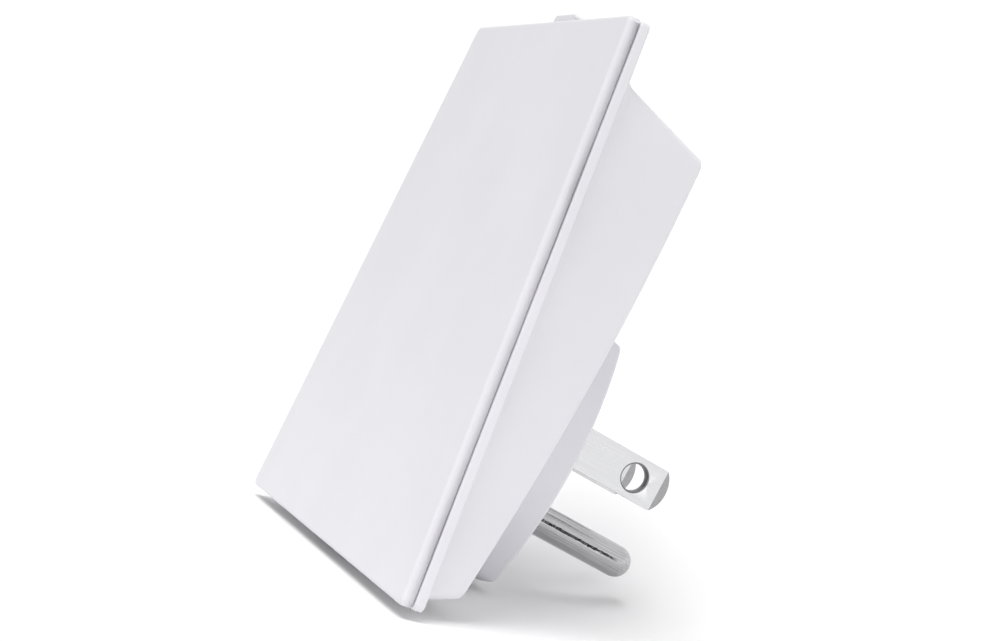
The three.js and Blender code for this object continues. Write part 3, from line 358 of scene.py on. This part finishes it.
# PVC insulation, extruded: smooth and slightly waxy.
BLACK_PVC = Finish("black_pvc", "1A1A1C", "242426", 0.45, cloud=3, grain=0.8)
WHITE_PVC = Finish("white_pvc", "E2E2DF", "D9D9D5", 0.45, cloud=3, grain=0.8)
GREEN_PVC = Finish("green_pvc", "2A7F43", "23713B", 0.45, cloud=3, grain=0.8)

FINISH_OF_SLOT = {
    "shell": WHITE_ABS,
    "button": BUTTON_ABS,
    "prongs": BLADE_NICKEL,
    "screws": ZINC_STEEL,
    "carrier": NYLON,
    "board": BOARD_LAMINATE,
    "chip": CHIP_EPOXY,
    "ferrite": FERRITE,
    "winding": WINDING_TAPE,
    "sleeve": CAN_SLEEVE,
    "varistor": DIPPED_EPOXY,
    "film": FILM_BOX,
    "fuse": FUSE_CERAMIC,
    "tin": TIN_SHEET,
    "lead_black": BLACK_PVC,
    "lead_white": WHITE_PVC,
    "lead_green": GREEN_PVC,
}


# ------------------------------------------------------------------ pieces


class Shading(Enum):
    """How sharp an edge must be, in degrees, to stay crisp."""

    SOFT = 50.0
    CRISP = 28.0


def attach(piece: bpy.types.Object, finish: Finish, *nodes: str) -> bpy.types.Object:
    """Gives a piece its finish and its body, and hides the frame nodes that it stands for.

    Args:
        piece: A mesh in place, its object at the origin.
        finish: Its finish.
        nodes: The frame nodes that it replaces, all on one body.

    Returns:
        The piece.
    """
    piece.data.materials.clear()
    piece.data.materials.append(finish.material())
    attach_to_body(piece, BODY_OF[nodes[0]])
    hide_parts(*nodes)
    LOG.info("%s: %d faces in place of %s", piece.name, len(piece.data.polygons), ", ".join(nodes))
    return piece


def to_object(work: bmesh.types.BMesh, name: str, shading: Shading) -> bpy.types.Object:
    """Turns a bmesh to a shown object with smooth faces and crisp corners.

    Args:
        work: The mesh, which is freed.
        name: The piece's name.
        shading: Which edges stay crisp.

    Returns:
        The object.
    """
    mesh = bpy.data.meshes.new(name)
    work.to_mesh(mesh)
    work.free()
    mesh.shade_smooth()
    mesh.set_sharp_from_angle(angle=math.radians(shading.value))
    piece = bpy.data.objects.new(name, mesh)
    bpy.context.scene.collection.objects.link(piece)
    weighted = piece.modifiers.new("weighted_normals", "WEIGHTED_NORMAL")
    weighted.keep_sharp = True
    return piece


def merged(node: str) -> bmesh.types.BMesh:
    """Returns a copy of a frame node's mesh with its loose triangles joined."""
    work = bmesh.new()
    work.from_mesh(frame["nodes"][node].data)
    bmesh.ops.remove_doubles(work, verts=work.verts, dist=0.002 * MM)
    return work


@dataclass
class Shell:
    """Front cover, rear housing and button: white mouldings with rounded edges."""

    finishes: dict[str, Finish] = field(
        default_factory=lambda: {
            "front_cover": WHITE_ABS,
            "rear_housing": WHITE_ABS,
            "top_button": BUTTON_ABS,
        }
    )

    def build(self) -> None:
        """Makes a smooth piece of each moulding."""
        for node, finish in self.finishes.items():
            attach(to_object(merged(node), f"{node}_moulding", Shading.CRISP), finish, node)


@dataclass
class Blades:
    """The two flat blades: blanked strip with a chamfered hole and a bevelled, rounded tip."""

    width: float = 6.35
    reach: float = 17.6
    hole: float = 4.0
    hole_reach: float = 11.8
    tip_sag: float = 1.5
    tip_thickness: float = 0.5
    shoulder_width: float = 9.4
    tail_width: float = 3.2
    shoulder_span: tuple[float, float] = (-12.0, -10.8)
    edge: float = 0.1
    hole_edge: float = 0.28
    # Painted dark reflection: the chamfered hole rims and the bevelled tip get a darker colour in place
    # of the dark that they reflect.
    rim_painted_reflection: float = 0.75  # how dark the painted reflection makes the hole's rims, from 0 to 1
    tip_painted_reflection: float = 0.5
    margin: float = 0.02  # how near a point is to an edge to lie on it
    level: float = 1e-4  # how far apart two points of one face may lie
    sharp_turn: float = 40.0  # degrees from which an edge is broken
    steps: int = 64

    def build(self) -> None:
        """Makes both blades."""
        for node in ("neutral_blade", "line_blade"):
            attach(self.blade(node), BLADE_NICKEL, node)

    def blade(self, node: str) -> bpy.types.Object:
        """Makes one blade in its frame node's place."""
        low, high = (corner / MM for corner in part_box(node))
        work = bmesh.new()
        middle = Vector(((low.x + high.x) / 2, 0, (low.z + high.z) / 2))
        half = (high.x - low.x) / 2
        chord = self.reach - self.tip_sag
        flat, tip = self.outline(low.y), self.tip()
        rings = [
            [work.verts.new((half, y, z)) for y, z in points] for points in (flat, self.bore())
        ]
        edges = [work.edges.new(pair) for ring in rings for pair in zip(ring, ring[1:] + ring[:1])]
        bmesh.ops.triangle_fill(work, use_beauty=True, edges=edges)
        upper, lower = rings[0][len(flat) // 2 - 1 : len(flat) // 2 + 1]
        arc = [work.verts.new((half, y, z)) for y, z in tip[1:-1]]
        work.faces.new((upper, *arc, lower))
        grown = bmesh.ops.extrude_face_region(work, geom=list(work.faces))
        for vert in (v for v in grown["geom"] if isinstance(v, bmesh.types.BMVert)):
            vert.co.x = -half
        slope = (half - self.tip_thickness / 2) / self.tip_sag
        for vert in work.verts:
            past = max(0.0, vert.co.y - chord)
            vert.co.x -= math.copysign(past * slope, vert.co.x)
        bmesh.ops.recalc_face_normals(work, faces=work.faces)
        self.round_edges(work, half)
        # Painted dark reflection per face, on the hole's rims and the tip.
        painted_reflection = [self.painted_reflection(face, chord) for face in work.faces]
        for vert in work.verts:
            vert.co = (vert.co + middle) * MM
        strip = to_object(work, f"{node}_strip", Shading.CRISP)
        # On a blade the seam attribute holds only this painted reflection.
        seam = strip.data.attributes.new("seam", "FLOAT", "FACE")
        seam.data.foreach_set("value", painted_reflection)
        return strip

    def painted_reflection(self, face: bmesh.types.BMFace, chord: float) -> float:
        """Returns how dark a face is painted as reflection: the hole's rims most, then the bevelled
        tip.
        """
        reaches = [math.hypot(v.co.y - self.hole_reach, v.co.z) for v in face.verts]
        if max(reaches) < self.hole / 2 + self.hole_edge + self.margin:
            return self.rim_painted_reflection
        past_chord = min(v.co.y for v in face.verts) > chord - self.margin
        return self.tip_painted_reflection if past_chord else 0.0

    def outline(self, tail: float) -> list[tuple[float, float]]:
        """Returns the flat part's outline as (y, z) points, from the tail round by the chord."""
        back, front = self.shoulder_span
        half, shoulder, slim = self.width / 2, self.shoulder_width / 2, self.tail_width / 2
        chord = self.reach - self.tip_sag
        upper = [
            (tail, slim),
            (back, slim),
            (back, shoulder),
            (front, shoulder),
            (front, half),
            (chord, half),
        ]
        return upper + [(y, -z) for y, z in reversed(upper)]

    def tip(self) -> list[tuple[float, float]]:
        """Returns the tip's arc as (y, z) points, from the upper corner to the lower."""
        half = self.width / 2
        radius = (half**2 + self.tip_sag**2) / (2 * self.tip_sag)
        spread = math.asin(half / radius)
        centre = self.reach - radius
        turns = [spread * (1 - 2 * i / self.steps) for i in range(self.steps + 1)]
        return [(centre + radius * math.cos(a), radius * math.sin(a)) for a in turns]

    def bore(self) -> list[tuple[float, float]]:
        """Returns the hole's circle as (y, z) points."""
        turns = (2 * math.pi * i / self.steps for i in range(self.steps))
        radius = self.hole / 2
        return [(self.hole_reach + radius * math.cos(a), radius * math.sin(a)) for a in turns]

    def round_edges(self, work: bmesh.types.BMesh, half: float) -> None:
        """Chamfers the hole's rims and breaks the strip's long edges."""

        def rim_of_hole(edge: bmesh.types.BMEdge) -> bool:
            reach = self.hole / 2 + self.margin / 2
            ends = (Vector((v.co.y - self.hole_reach, v.co.z)) for v in edge.verts)
            return all(end.length < reach for end in ends)

        sharp = [
            e for e in work.edges
            if len(e.link_faces) == 2 and e.calc_face_angle(0) > math.radians(self.sharp_turn)
        ]
        rims = [e for e in sharp if rim_of_hole(e)]
        ends = [
            e for e in sharp
            if not rim_of_hole(e) and abs(abs(e.verts[0].co.x) - half) < self.level
            and abs(e.verts[0].co.x - e.verts[1].co.x) < self.level
        ]
        bmesh.ops.bevel(work, geom=rims, offset=self.hole_edge, segments=2, profile=0.5, affect="EDGES")
        ends = [e for e in ends if e.is_valid]
        bmesh.ops.bevel(work, geom=ends, offset=self.edge, segments=2, profile=0.5, affect="EDGES")


@dataclass(frozen=True)
class Wander:
    """A smooth random walk along the pin, the same in every run."""

    amount: float
    rate: float  # turns of the walk per millimetre
    row: tuple[float, float]  # which of the noise's rows it follows

    def at(self, y: float) -> float:
        """Returns the walk's value at a reach."""
        return self.amount * noise.noise(Vector((self.rate * y, *self.row)))


@dataclass
class GroundPin:
    """The round pin: rolled from sheet, with a ragged seam along one side and a domed tip."""

    shank: float = 4.8
    tail: float = 3.2
    collar: float = 7.2
    collar_span: tuple[float, float] = (-12.0, -10.8)
    break_edge: float = 0.15
    seam_angle: float = 4.0  # degrees up from +X
    seam_half: float = 11.0  # half the seam zone, degrees
    seam_depth: float = 0.28
    seam_start: float = -1.0
    seam_end: float = 18.2
    seam_fade: float = 1.5
    seam_least: float = 0.24  # the seam's narrowest and its spread, shares of its zone
    seam_spread: float = 0.42
    step: float = 0.01  # length of a square shoulder
    drifts: tuple[Wander, ...] = (Wander(1.1, 0.35, (0.0, 3.1)), Wander(1.6, 2.9, (4.3, 0.0)))
    frays: tuple[Wander, ...] = (Wander(0.5, 2.3, (1.7, 0.0)), Wander(0.5, 5.1, (0.0, 8.6)))
    rows: int = 110
    sides: int = 72
    seam_sides: int = 14
    dome_steps: int = 14

    def build(self) -> None:
        """Makes the pin."""
        low, high = (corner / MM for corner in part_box("ground_pin"))
        middle = (low + high) / 2
        work = bmesh.new()
        shade: list[float] = []
        rings = [self.ring(work, middle, y, radius, shade) for y, radius in self.profile(low.y, high.y)]
        for first, second in zip(rings, rings[1:]):
            for i, vert in enumerate(first):
                j = (i + 1) % len(first)
                work.faces.new((vert, first[j], second[j], second[i]))
        for ring, y in ((rings[0], low.y), (rings[-1], high.y)):
            pole = work.verts.new(Vector((middle.x, y, middle.z)) * MM)
            shade.append(0.0)
            for i, vert in enumerate(ring):
                work.faces.new((vert, ring[(i + 1) % len(ring)], pole))
        bmesh.ops.recalc_face_normals(work, faces=work.faces)
        pin = to_object(work, "ground_pin_rolled", Shading.SOFT)
        seam = pin.data.attributes.new("seam", "FLOAT", "POINT")
        seam.data.foreach_set("value", shade)
        attach(pin, PIN_NICKEL, "ground_pin")

    def profile(self, tail: float, tip: float) -> Iterator[tuple[float, float]]:
        """Yields the pin's reach and radius from its tail to its dome."""
        radius, edge = self.shank / 2, self.break_edge
        back, front = self.collar_span
        yield tail, self.tail / 2 - edge
        yield tail + edge, self.tail / 2
        yield back, self.tail / 2
        yield back + self.step, self.collar / 2 - edge
        yield back + edge, self.collar / 2
        yield front - edge, self.collar / 2
        yield front - self.step, self.collar / 2 - edge
        yield front, radius
        straight = tip - radius
        for i in range(self.rows + 1):
            yield self.seam_start + (straight - self.seam_start) * i / self.rows, radius
        for i in range(1, self.dome_steps):
            turn = math.pi / 2 * i / self.dome_steps
            yield straight + radius * math.sin(turn), radius * math.cos(turn)

    def ring(
        self, work: bmesh.types.BMesh, middle: Vector, y: float, radius: float, shade: list[float]
    ) -> list[bmesh.types.BMVert]:
        """Adds one ring of the pin, dented where the seam runs.

        Args:
            work: The mesh that gets the ring.
            middle: A point on the pin's axis.
            y: How far along the pin the ring lies.
            radius: Its radius.
            shade: Gets each new vertex's share of soot.

        Returns:
            The ring's vertices.
        """
        verts = []
        for turn in self.turns():
            depth = self.seam(y, turn)
            shade.append(depth)
            reach = radius - self.seam_depth * depth
            angle = math.radians(turn)
            spot = Vector((middle.x + reach * math.cos(angle), y, middle.z + reach * math.sin(angle)))
            verts.append(work.verts.new(spot * MM))
        return verts

    def turns(self) -> list[float]:
        """Returns the ring's angles in degrees: close together over the seam."""
        start = self.seam_angle - self.seam_half
        fine = [start + 2 * self.seam_half * i / self.seam_sides for i in range(self.seam_sides)]
        rest = 360 - 2 * self.seam_half
        end = self.seam_angle + self.seam_half
        coarse = [end + rest * i / self.sides for i in range(self.sides)]
        return fine + coarse

    def seam(self, y: float, turn: float) -> float:
        """Returns how deep the seam is, from 0 to 1, at a reach and an angle."""
        if not self.seam_start < y < self.seam_end:
            return 0.0
        drift = sum(walk.at(y) for walk in self.drifts)
        ragged = 0.5 + sum(walk.at(y) for walk in self.frays)
        width = (self.seam_least + self.seam_spread * max(0.0, ragged)) * self.seam_half
        away = abs(turn - self.seam_angle - drift) / width
        fade = min(1.0, (self.seam_end - y) / self.seam_fade)
        speck = 0.8 + Wander(0.5, 6.7, (0.21 * turn, 2.2)).at(y)
        return fade * min(1.0, speck * (1.0 - away**3)) if away < 1 else 0.0


@dataclass
class CoverScrews:
    """The four screws that hold the cover, made by one Geometry Nodes tree over four points."""

    head: float = 3.8
    height: float = 1.3
    shank: float = 2.0
    length: float = 4.6
    recess: float = 0.55
    recess_reach: float = 2.3
    nodes: tuple[str, ...] = tuple(
        f"cover_screw_{side}" for side in ("top_left", "top_right", "bottom_left", "bottom_right")
    )

    def build(self) -> None:
        """Makes the screws as one mesh."""
        mesh = bpy.data.meshes.new("screw_points")
        mesh.from_pydata([self.seat(node) for node in self.nodes], [], [])
        points = bpy.data.objects.new("cover_screws", mesh)
        bpy.context.scene.collection.objects.link(points)
        modifier = points.modifiers.new("screws", "NODES")
        modifier.node_group = self.tree()
        names = {item.name: item.identifier for item in modifier.node_group.interface.items_tree}
        for name, value in self.sizes().items():
            modifier[names[name]] = value
        evaluated = points.evaluated_get(bpy.context.evaluated_depsgraph_get())
        solid = bpy.data.meshes.new_from_object(evaluated)
        points.modifiers.remove(modifier)
        points.data = solid
        attach(points, ZINC_STEEL, *self.nodes)

    def sizes(self) -> dict[str, float]:
        """Returns the tree's named inputs with their values in metres."""
        return {
            "Head radius": self.head / 2 * MM,
            "Head height": self.height * MM,
            "Shank radius": self.shank / 2 * MM,
            "Shank length": self.length * MM,
            "Recess width": self.recess * MM,
            "Recess reach": self.recess_reach * MM,
        }

    def seat(self, node: str) -> Vector:
        """Returns the underside of a screw's head, from its frame node's box."""
        low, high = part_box(node)
        back = self.axis()
        middle = (low + high) / 2
        return middle + back * (self.length - self.height) / 2 * MM

    @staticmethod
    def axis() -> Vector:
        """Returns the way the heads face: square to the button's travel, away from the front."""
        travel = Vector(RECORD["behaviour"]["joints"][0]["axis"])
        return Vector((1, 0, 0)).cross(-travel).normalized()

    def tree(self) -> bpy.types.NodeTree:
        """Builds the tree that stands a cross-head screw on every point."""
        tree = bpy.data.node_groups.new("screws_on_points", "GeometryNodeTree")
        face = tree.interface
        face.new_socket("Geometry", in_out="INPUT", socket_type="NodeSocketGeometry")
        for name in self.sizes():
            face.new_socket(name, in_out="INPUT", socket_type="NodeSocketFloat")
        face.new_socket("Geometry", in_out="OUTPUT", socket_type="NodeSocketGeometry")
        given = add_node(tree, "NodeGroupInput").outputs
        head = self.cylinder(tree, given["Head radius"], given["Head height"], 1.0)
        shank = self.cylinder(tree, given["Shank radius"], given["Shank length"], -1.0)
        cross = [
            add_node(tree, "GeometryNodeMeshCube", {"Size": size.outputs[0]}).outputs[0]
            for size in (
                add_node(
                    tree,
                    "ShaderNodeCombineXYZ",
                    {"X": given[x], "Y": given[y], "Z": given["Head height"]},
                )
                for x, y in (("Recess reach", "Recess width"), ("Recess width", "Recess reach"))
            )
        ]
        raised = add_node(tree, "ShaderNodeCombineXYZ", {"Z": given["Head height"]}).outputs[0]
        both = add_node(tree, "GeometryNodeJoinGeometry")
        for arm in cross:
            tree.links.new(arm, both.inputs[0])
        cutter = add_node(
            tree, "GeometryNodeTransform", {"Geometry": both.outputs[0], "Translation": raised}
        )
        cut = add_node(tree, "GeometryNodeMeshBoolean", operation="DIFFERENCE")
        tree.links.new(head, cut.inputs[0])
        tree.links.new(cutter.outputs[0], cut.inputs[1])
        whole = add_node(tree, "GeometryNodeMeshBoolean", operation="UNION")
        for solid in (cut.outputs[0], shank):
            tree.links.new(solid, whole.inputs[1])
        turn = Vector((0, 0, 1)).rotation_difference(self.axis()).to_euler()
        stood = add_node(
            tree,
            "GeometryNodeInstanceOnPoints",
            {"Points": given["Geometry"], "Instance": whole.outputs[0], "Rotation": turn},
        )
        real = add_node(tree, "GeometryNodeRealizeInstances", {0: stood.outputs[0]})
        dressed = add_node(
            tree,
            "GeometryNodeSetMaterial",
            {"Geometry": real.outputs[0], "Material": ZINC_STEEL.material()},
        )
        add_node(tree, "NodeGroupOutput", {0: dressed.outputs[0]})
        return tree

    @staticmethod
    def cylinder(
        tree: bpy.types.NodeTree,
        radius: bpy.types.NodeSocket,
        length: bpy.types.NodeSocket,
        side: float,
    ) -> bpy.types.NodeSocket:
        """Adds a cylinder that stands on the seat, on its upper side (1) or its lower side (-1)."""
        body = add_node(
            tree,
            "GeometryNodeMeshCylinder",
            {"Vertices": 40, "Radius": radius, "Depth": length},
        )
        half = add_node(tree, "ShaderNodeMath", {0: length, 1: side / 2}, operation="MULTIPLY")
        shift = add_node(tree, "ShaderNodeCombineXYZ", {"Z": half.outputs[0]})
        moved = add_node(
            tree,
            "GeometryNodeTransform",
            {"Geometry": body.outputs["Mesh"], "Translation": shift.outputs[0]},
        )
        return moved.outputs[0]


@dataclass
class InnerParts:
    """Everything that keeps its frame solid: each gets the finish of its material slot."""

    def build(self) -> None:
        """Dresses every frame node by its slot."""
        for name, node in frame["nodes"].items():
            finish = FINISH_OF_SLOT[SLOT_OF[name]]
            for holder in node.material_slots:
                holder.material = finish.material()
            LOG.info("%s: %s", name, finish.name)


# ------------------------------------------------------------------ studio


@dataclass(frozen=True)
class SoftLight:
    """A square soft light: where it hangs and its size, in millimetres, and its watts."""

    name: str
    place: tuple[float, float, float]
    size: float
    power: float


@dataclass
class Studio:
    """A pale floor that curves up behind, white surroundings, soft lights and the camera.

    The module is tipped back onto its plug, so the floor slopes under it.
    """

    camera_place: tuple[float, float, float] = (283.9, -116.0, -6.1)
    azimuth: float = 70.4
    elevation: float = -3.9
    roll: float = 28.8
    lens: float = 75.2
    floor_slope: float = 14.3  # degrees that it falls towards the front
    floor_drop: float = 0.9  # a sliver of light under the edge keeps its shadow soft
    floor_reach: float = 240.0
    overhead_place: tuple[float, float, float] = (90.0, -230.0, 330.0)
    overhead_spread: float = 40.0  # degrees that the light seems across
    overhead_strength: float = 1.9
    soft_lights: tuple[SoftLight, ...] = (
        SoftLight("camera_side", (380.0, -60.0, 60.0), 300.0, 0.2),
        SoftLight("behind", (200.0, 330.0, 40.0), 240.0, 0.15),
        SoftLight("front_top", (0.0, -170.0, 190.0), 120.0, 0.012),
    )
    sweep_start: float = 5.0
    sweep_radius: float = 50.0
    sweep_turn: float = 70.0  # the way the floor rises, degrees from -X towards +Y
    sweep_end: float = 45.0  # its steepest, degrees

    def build(self) -> None:
        """Makes the floor, the surroundings, the lights and the camera."""
        self.surroundings()
        self.floor()
        self.lights()
        self.camera()

    def surroundings(self) -> None:
        """White all round to the eye and in reflections, dimmer as the light on matt surfaces."""
        world = bpy.data.worlds.new("white_surroundings")
        world.use_nodes = True
        bpy.context.scene.world = world
        tree = world.node_tree
        tree.nodes.clear()
        seen = add_node(tree, "ShaderNodeBackground", {"Color": linear("FFFFFF"), "Strength": 1.0})
        cast = add_node(tree, "ShaderNodeBackground", {"Color": linear("FFFFFF"), "Strength": 0.45})
        path = add_node(tree, "ShaderNodeLightPath")
        mix = add_node(
            tree,
            "ShaderNodeMixShader",
            {0: path.outputs["Is Diffuse Ray"], 1: seen.outputs[0], 2: cast.outputs[0]},
        )
        add_node(tree, "ShaderNodeOutputWorld", {"Surface": mix.outputs[0]})

    def floor_height(self, x: float, y: float) -> float:
        """Returns the floor's height above its flat part at (x, y), measured in the floor's plane."""
        turn = math.radians(self.sweep_turn)
        along = -x * math.cos(turn) + y * math.sin(turn) - self.sweep_start
        if along <= 0:
            return 0.0
        limit = self.sweep_radius * math.sin(math.radians(self.sweep_end))
        bent = min(along, limit)
        rise = self.sweep_radius - math.sqrt(self.sweep_radius**2 - bent**2)
        return rise + (along - bent) * math.tan(math.radians(self.sweep_end))

    def floor(self) -> None:
        """Makes the floor under the module's lowest corner, as a sheet seen from above only."""
        tip = Matrix.Rotation(math.radians(self.floor_slope), 3, "X")
        up = tip @ Vector((0, 0, 1))
        shell = [
            vert.co
            for node in ("rear_housing", "front_cover")
            for vert in frame["nodes"][node].data.vertices
        ]
        lowest = min(up.dot(point) for point in shell) / MM
        work = bmesh.new()
        bmesh.ops.create_grid(work, x_segments=96, y_segments=96, size=self.floor_reach)
        for vert in work.verts:
            vert.co.z = self.floor_height(vert.co.x, vert.co.y) + lowest - self.floor_drop
            vert.co = tip @ vert.co * MM
        mesh = bpy.data.meshes.new("studio_floor")
        work.to_mesh(mesh)
        work.free()
        mesh.shade_smooth()
        mesh.materials.append(self.floor_material())
        floor = bpy.data.objects.new("studio_floor", mesh)
        bpy.context.scene.collection.objects.link(floor)

    @staticmethod
    def floor_material() -> bpy.types.Material:
        """Matt white paint, clear from below so that the sheet never hides the module."""
        paint = bpy.data.materials.new("matt_white_paint")
        paint.use_nodes = True
        tree = paint.node_tree
        tree.nodes.clear()
        white = add_node(tree, "ShaderNodeBsdfDiffuse", {"Color": linear("FEFEFE")})
        clear = add_node(tree, "ShaderNodeBsdfTransparent")
        side = add_node(tree, "ShaderNodeNewGeometry").outputs["Backfacing"]
        mix = add_node(tree, "ShaderNodeMixShader", {0: side, 1: white.outputs[0], 2: clear.outputs[0]})
        add_node(tree, "ShaderNodeOutputMaterial", {"Surface": mix.outputs[0]})
        return paint

    def lights(self) -> None:
        """Hangs a wide even light overhead and three small soft lights, all aimed at the module."""
        wide = bpy.data.lights.new("overhead", "SUN")
        wide.angle = math.radians(self.overhead_spread)
        wide.energy = self.overhead_strength
        self.hang(wide, self.overhead_place)
        for light in self.soft_lights:
            lamp = bpy.data.lights.new(light.name, "AREA")
            lamp.size = light.size * MM
            lamp.energy = light.power
            self.hang(lamp, light.place)

    @staticmethod
    def hang(lamp: bpy.types.Light, place: tuple[float, float, float]) -> None:
        """Hangs a light at a place, aimed at the module."""
        holder = bpy.data.objects.new(lamp.name, lamp)
        holder.location = Vector(place) * MM
        holder.rotation_euler = (-Vector(place)).to_track_quat("-Z", "Y").to_euler()
        bpy.context.scene.collection.objects.link(holder)

    def camera(self) -> None:
        """Stands the camera to the right of the module, a little below its middle, and rolls it."""
        view = bpy.data.cameras.new("camera")
        view.lens = self.lens
        view.sensor_width = 36.0
        view.clip_start, view.clip_end = 0.01, 10.0
        azimuth, elevation = math.radians(self.azimuth), math.radians(self.elevation)
        level = math.cos(elevation)
        back = Vector((math.sin(azimuth) * level, -math.cos(azimuth) * level, math.sin(elevation)))
        turn = (-back).to_track_quat("-Z", "Y").to_matrix().to_4x4()
        holder = bpy.data.objects.new("camera", view)
        holder.matrix_world = (
            Matrix.Translation(Vector(self.camera_place) * MM)
            @ turn
            @ Matrix.Rotation(math.radians(self.roll), 4, "Z")
        )
        bpy.context.scene.collection.objects.link(holder)
        bpy.context.scene.camera = holder


def main() -> None:
    """Builds the pieces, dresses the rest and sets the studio."""
    logging.basicConfig(level=logging.INFO, format="%(name)s: %(message)s")
    bpy.context.scene.view_settings.view_transform = "Standard"
    InnerParts().build()
    Shell().build()
    Blades().build()
    GroundPin().build()
    CoverScrews().build()
    Studio().build()


if __name__ == "__main__":
    main()
